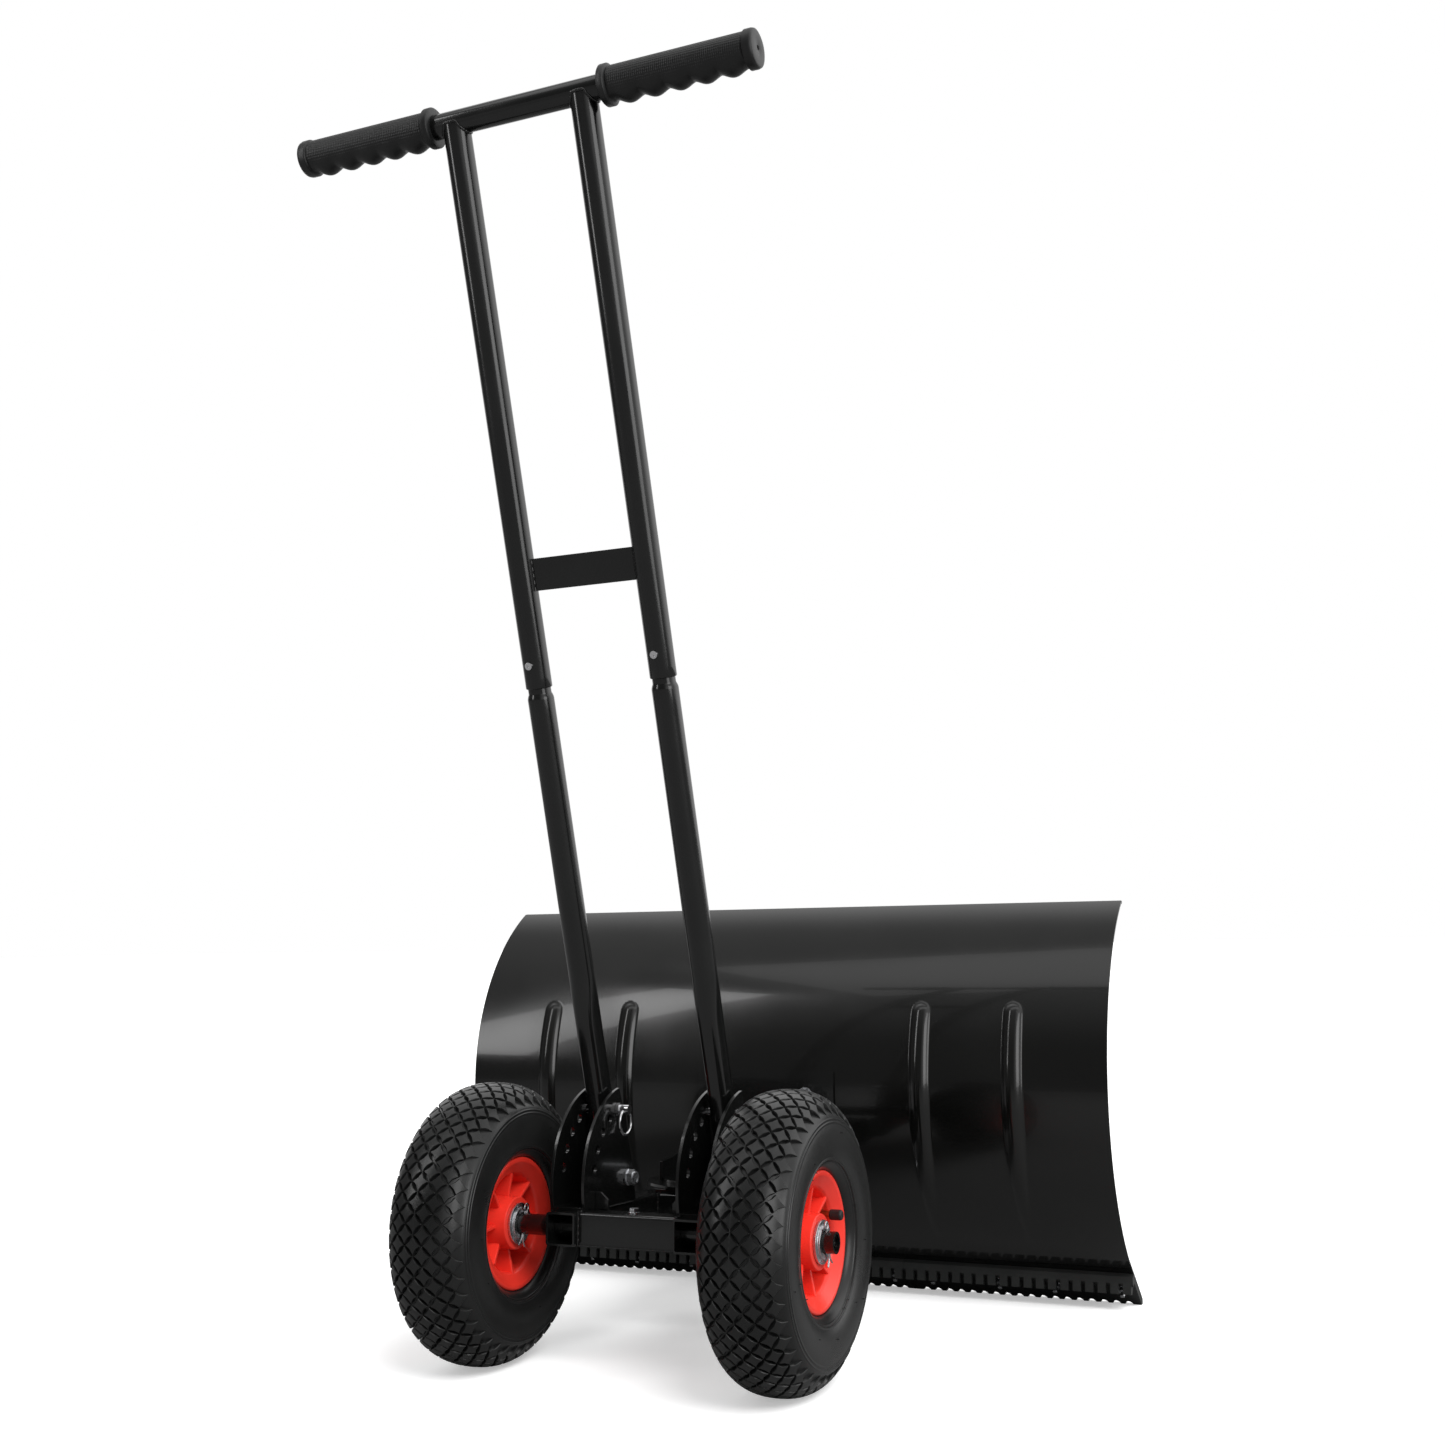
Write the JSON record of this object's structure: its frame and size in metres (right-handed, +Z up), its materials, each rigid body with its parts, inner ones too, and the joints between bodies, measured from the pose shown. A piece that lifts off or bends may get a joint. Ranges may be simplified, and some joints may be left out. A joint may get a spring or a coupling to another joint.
{
  "type": "wheeled snow shovel",
  "caption": "Curved pusher blade on a two-wheeled frame, with a folding two-piece handle and a blade that swivels to either side.",
  "frame": {"origin": "middle of the scraper's flat wear face, on the floor", "axes": "+Z up from the floor, +Y forwards (the way the blade pushes), +X to the right of the person pushing"},
  "size_m": [0.746, 0.663, 1.1443],
  "materials": {
    "black_powder_coat": "glossy powder coat",
    "blade_enamel": "glossy black enamel",
    "zinc": "bright zinc plate",
    "chrome": "polished",
    "tyre_rubber": "matte rubber with a soft sheen",
    "tube_rubber": "matte rubber",
    "rim_plastic": "semi-gloss red moulding",
    "grip_rubber": "knurled matte rubber",
    "scraper_plastic": "satin moulded plastic",
    "cap_plastic": "satin"
  },
  "bodies": {
    "frame": {"rail_left": "black_powder_coat", "rail_right": "black_powder_coat", "axle_crossbar": "black_powder_coat", "front_crossbar": "black_powder_coat", "lock_bracket_left": "black_powder_coat", "lock_bracket_right": "black_powder_coat", "corner_gussets": "black_powder_coat", "swivel_base_plate": "black_powder_coat", "axle_tube": "black_powder_coat", "axle_lock_screw": "zinc", "axle_washers": "zinc", "cotter_pins": "zinc", "pivot_bolts": "zinc", "pivot_nuts": "zinc", "swivel_bolt": "zinc", "swivel_nut": "zinc"},
    "wheel_left": {"tyre_left": "tyre_rubber", "inner_tube_left": "tube_rubber", "rim_outer_left": "rim_plastic", "rim_inner_left": "rim_plastic", "hub_bearings_left": "zinc", "rim_screws_left": "zinc", "valve_cap_left": "cap_plastic"},
    "wheel_right": {"tyre_right": "tyre_rubber", "inner_tube_right": "tube_rubber", "rim_outer_right": "rim_plastic", "rim_inner_right": "rim_plastic", "hub_bearings_right": "zinc", "rim_screws_right": "zinc", "valve_cap_right": "cap_plastic"},
    "handle": {"lower_tube_left": "black_powder_coat", "lower_tube_right": "black_powder_coat", "upper_tube_left": "black_powder_coat", "upper_tube_right": "black_powder_coat", "brace_plate": "black_powder_coat", "cross_handle": "black_powder_coat", "grip_left": "grip_rubber", "grip_right": "grip_rubber", "pivot_spacers": "cap_plastic"},
    "snap_left": {"snap_button_left": "chrome"},
    "snap_right": {"snap_button_right": "chrome"},
    "pin_left": {"lock_pin_left": "chrome"},
    "pin_right": {"lock_pin_right": "chrome"},
    "ring_left": {"pin_ring_left": "chrome"},
    "ring_right": {"pin_ring_right": "chrome"},
    "blade": {"blade_sheet": "blade_enamel", "blade_cradle": "black_powder_coat", "swivel_disc": "black_powder_coat", "back_pad": "black_powder_coat", "pad_bolts": "zinc", "pad_nuts": "zinc", "scraper_left": "scraper_plastic", "scraper_middle": "scraper_plastic", "scraper_right": "scraper_plastic", "scraper_bolts": "zinc", "scraper_nuts": "zinc"},
    "swivel_lock": {"swivel_pin": "zinc"}
  },
  "joints": [
    {"name": "wheel_left_spin", "type": "hinge", "parent": "frame", "child": "wheel_left", "pos_m": [-0.153, -0.44591, 0.13], "axis": [1, 0, 0], "continuous": true},
    {"name": "wheel_right_spin", "type": "hinge", "parent": "frame", "child": "wheel_right", "pos_m": [0.153, -0.44591, 0.13], "axis": [1, 0, 0], "continuous": true},
    {"name": "handle_fold", "type": "hinge", "parent": "frame", "child": "handle", "pos_m": [0, -0.36641, 0.16475], "axis": [1, 0, 0], "range_deg": [-60.05, 60]},
    {"name": "blade_swivel", "type": "hinge", "parent": "frame", "child": "blade", "pos_m": [0, -0.21128, 0.14033], "axis": [0, 0.0412, 0.9991], "range_deg": [-30, 30]},
    {"name": "swivel_pin_lift", "type": "slide", "parent": "frame", "child": "swivel_lock", "axis": [0, 0.0412, 0.9991], "range_m": [0, 0.032]},
    {"name": "lock_pin_left_pull", "type": "slide", "parent": "handle", "child": "pin_left", "axis": [1, 0, 0], "range_m": [0, 0.044]},
    {"name": "lock_pin_right_pull", "type": "slide", "parent": "handle", "child": "pin_right", "axis": [1, 0, 0], "range_m": [-0.044, 0]},
    {"name": "ring_left_swing", "type": "hinge", "parent": "pin_left", "child": "ring_left", "pos_m": [-0.039, -0.38535, 0.2311], "axis": [0, -1, 0], "range_deg": [-8, 95]},
    {"name": "ring_right_swing", "type": "hinge", "parent": "pin_right", "child": "ring_right", "pos_m": [0.039, -0.38535, 0.2311], "axis": [0, -1, 0], "range_deg": [-95, 8]},
    {"name": "snap_left_press", "type": "slide", "parent": "handle", "child": "snap_left", "axis": [0, 0.9616, 0.2746], "range_m": [0, 0.0022], "stiffness_N_per_m": 1500},
    {"name": "snap_right_press", "type": "slide", "parent": "handle", "child": "snap_right", "axis": [0, 0.9616, 0.2746], "range_m": [0, 0.0022], "stiffness_N_per_m": 1500}
  ]
}
